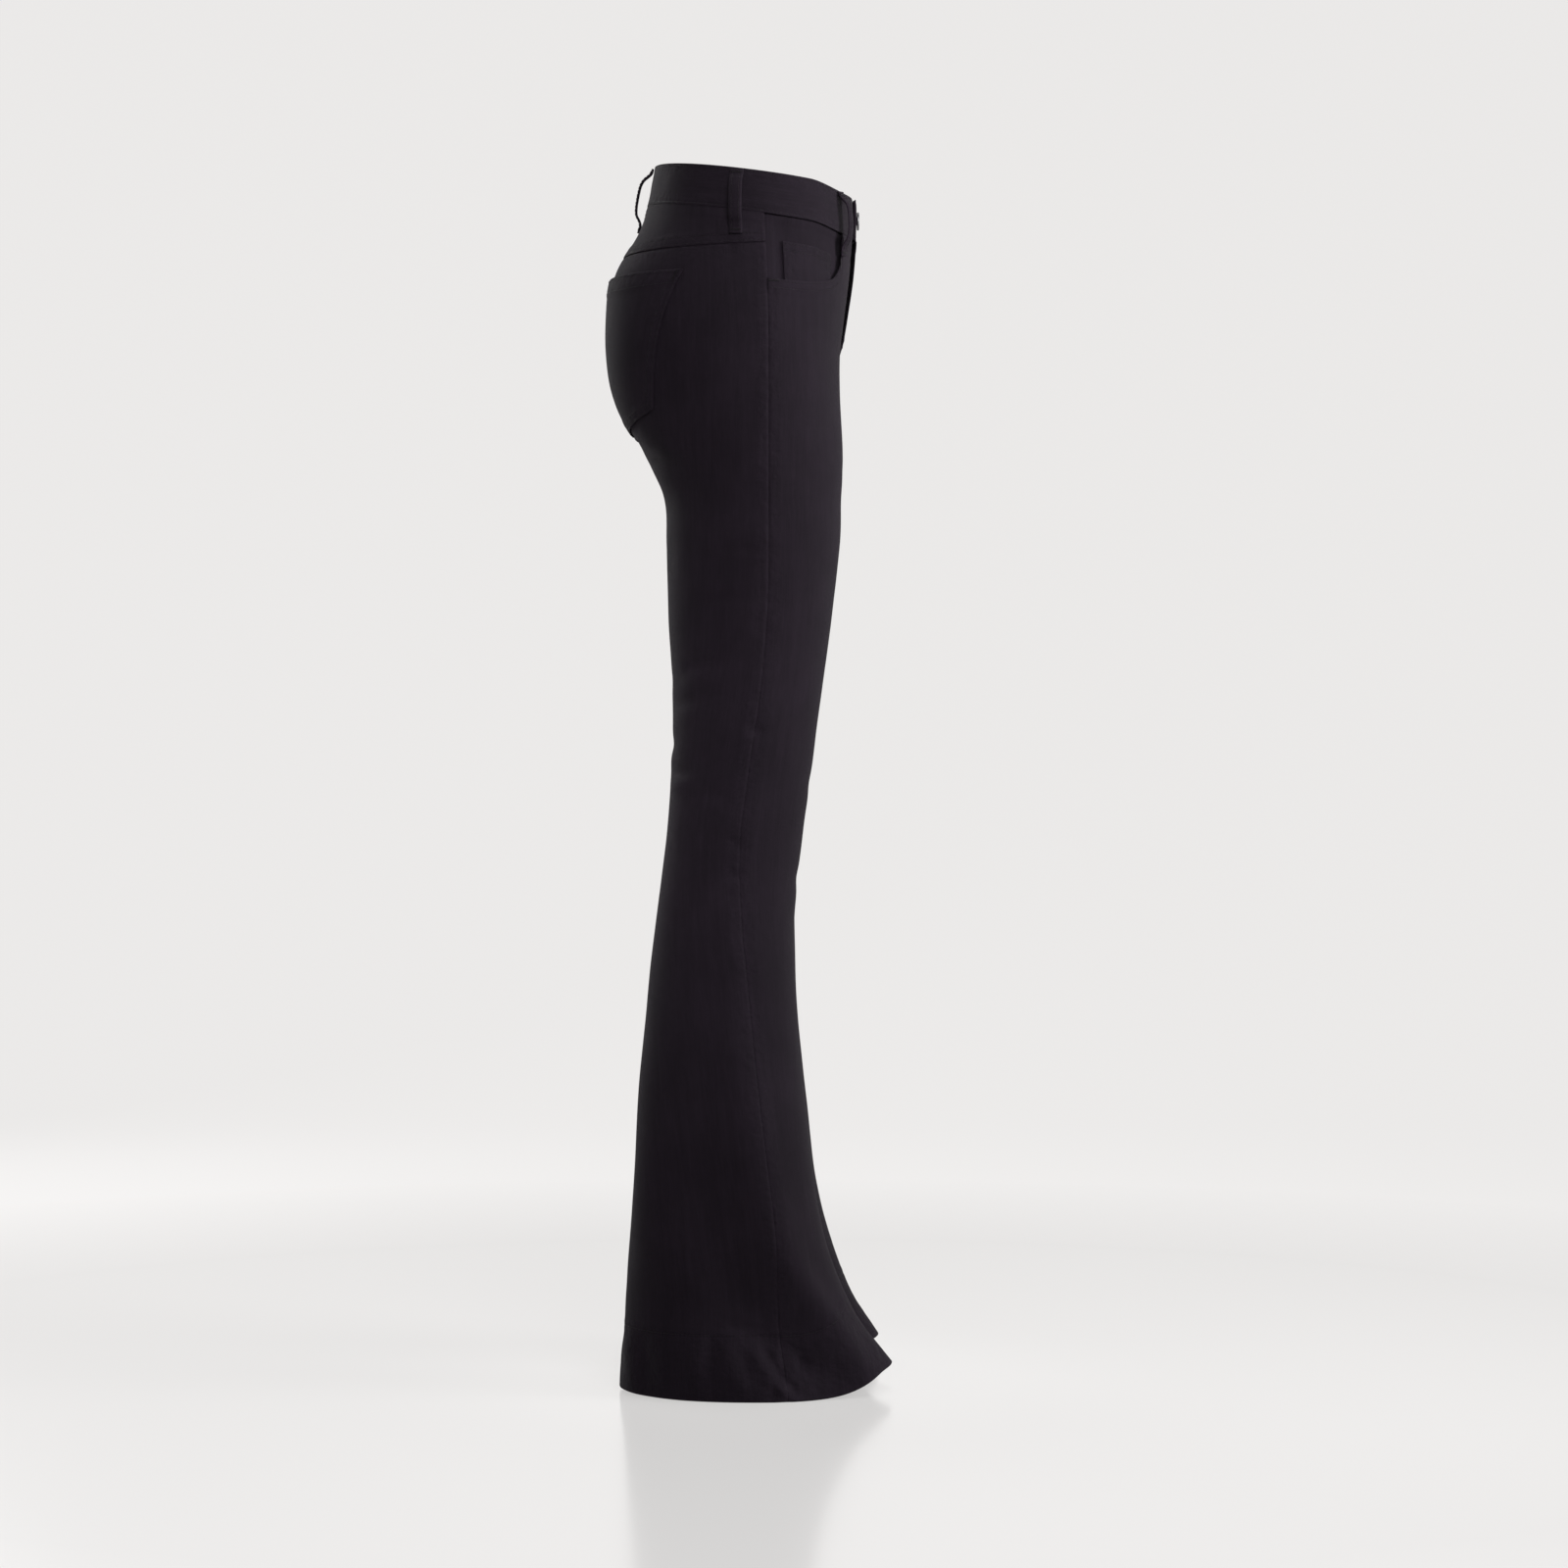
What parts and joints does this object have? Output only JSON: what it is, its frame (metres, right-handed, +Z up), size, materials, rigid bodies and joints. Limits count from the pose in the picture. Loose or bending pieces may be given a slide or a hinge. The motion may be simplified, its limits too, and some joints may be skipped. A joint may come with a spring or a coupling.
{
  "type": "flared jeans",
  "caption": "High-rise black denim jeans with flared legs, hollow as worn, waist and hems open, with patch pockets, belt loops, button and zip.",
  "frame": {"origin": "centre of the waist opening, at the height of the waistband's top edge at the centre back", "axes": "+Z up along the body, -Y towards the front, -X towards the wearer's right"},
  "size_m": [0.3478, 0.2572, 1.1087],
  "materials": {
    "denim": "washed black denim, faintly brown at its seams",
    "hem_denim": "black denim, puckered and lightly worn at the turned edge",
    "thread": "black sewing thread, slightly glossy",
    "zip_tape": "black woven tape",
    "hardware": "dark gunmetal"
  },
  "bodies": {
    "root": {"waistband": "denim", "front_right": "denim", "front_left": "denim", "back_right": "denim", "back_left": "denim", "yoke_right": "denim", "yoke_left": "denim", "pocket_facing_right": "denim", "pocket_facing_left": "denim", "coin_pocket": "denim", "back_pocket_right": "denim", "back_pocket_left": "denim", "hem_right": "hem_denim", "hem_left": "hem_denim", "belt_loop_front_right": "denim", "belt_loop_front_left": "denim", "belt_loop_side_right": "denim", "belt_loop_side_left": "denim", "belt_loop_back": "denim", "zip": "zip_tape", "zip_slider": "hardware", "button": "hardware"}
  },
  "joints": []
}
